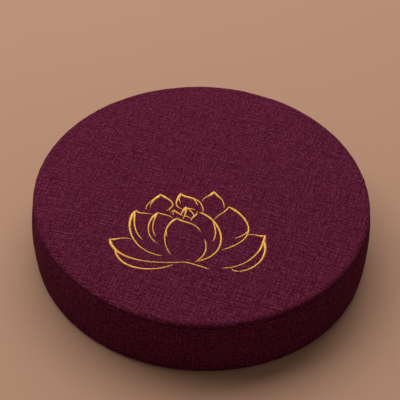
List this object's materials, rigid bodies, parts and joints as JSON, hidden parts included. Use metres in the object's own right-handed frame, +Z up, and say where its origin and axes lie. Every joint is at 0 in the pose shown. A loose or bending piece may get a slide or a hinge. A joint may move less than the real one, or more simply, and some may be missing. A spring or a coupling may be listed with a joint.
{
  "type": "round meditation cushion",
  "caption": "Firm round boxed floor cushion in plain woven cloth, flat foot, softly crowned top with a lotus outlined in raised gold stitching.",
  "frame": {"origin": "middle of the flat underside, on the surface that the cushion rests on", "axes": "+Z up through the cushion's thickness; -Y towards the front, the side that the lotus's foot is nearest; +X to the right seen from the front"},
  "size_m": [0.4099, 0.4111, 0.0862],
  "materials": {
    "cover_cloth": "matte plain weave in dark wine red, flecked with lighter and darker yarn",
    "gold_thread": "soft sheen of satin-stitched gold embroidery thread"
  },
  "bodies": {
    "root": {"cushion": "cover_cloth", "lotus_front": "gold_thread", "lotus_left_inner": "gold_thread", "lotus_right_inner": "gold_thread", "lotus_left_outer": "gold_thread", "lotus_right_outer": "gold_thread", "lotus_left_low": "gold_thread", "lotus_right_low": "gold_thread", "lotus_seed_head": "gold_thread", "lotus_left_back": "gold_thread", "lotus_middle_back": "gold_thread", "lotus_right_back": "gold_thread"}
  },
  "joints": []
}
